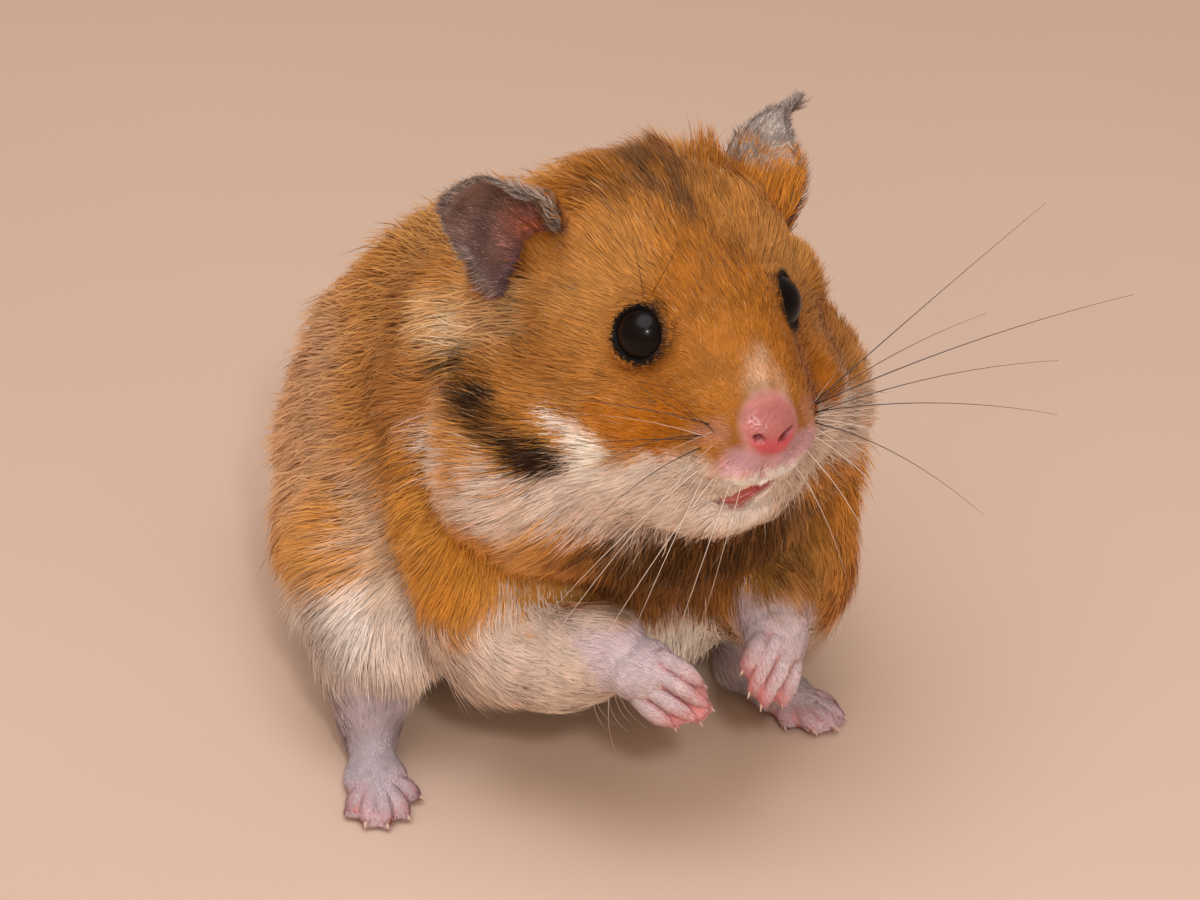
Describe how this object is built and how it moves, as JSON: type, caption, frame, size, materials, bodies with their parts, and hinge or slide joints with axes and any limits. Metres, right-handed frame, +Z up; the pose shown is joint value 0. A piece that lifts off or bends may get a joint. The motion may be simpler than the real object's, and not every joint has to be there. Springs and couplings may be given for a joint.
{
  "type": "syrian hamster",
  "caption": "Life-size still model of a golden Syrian hamster sitting on its rump, forepaws lifted, head up and turned slightly to its left.",
  "frame": {"origin": "the floor point under the middle of the model's bounding box", "axes": "+Z up, the animal faces -Y, its own left is +X"},
  "size_m": [0.0656, 0.101, 0.0752],
  "materials": {
    "golden_coat": "dense soft fur, golden orange with dark tips",
    "white_coat": "dense soft fur, warm white",
    "ear_skin": "thin grey-brown skin with fine short hair",
    "pink_skin": "bare or thinly haired pink skin, satin",
    "eye": "wet black gloss"
  },
  "bodies": {
    "root": {"head": "golden_coat", "nose": "pink_skin", "lower_jaw": "white_coat", "neck": "golden_coat", "trunk": "golden_coat", "tail": "pink_skin", "ear_left": "ear_skin", "ear_right": "ear_skin", "eye_left": "eye", "eye_right": "eye", "foreleg_left": "golden_coat", "foreleg_right": "golden_coat", "forepaw_left": "pink_skin", "forepaw_right": "pink_skin", "hindleg_left": "white_coat", "hindleg_right": "white_coat", "hindfoot_left": "pink_skin", "hindfoot_right": "pink_skin"}
  },
  "joints": []
}
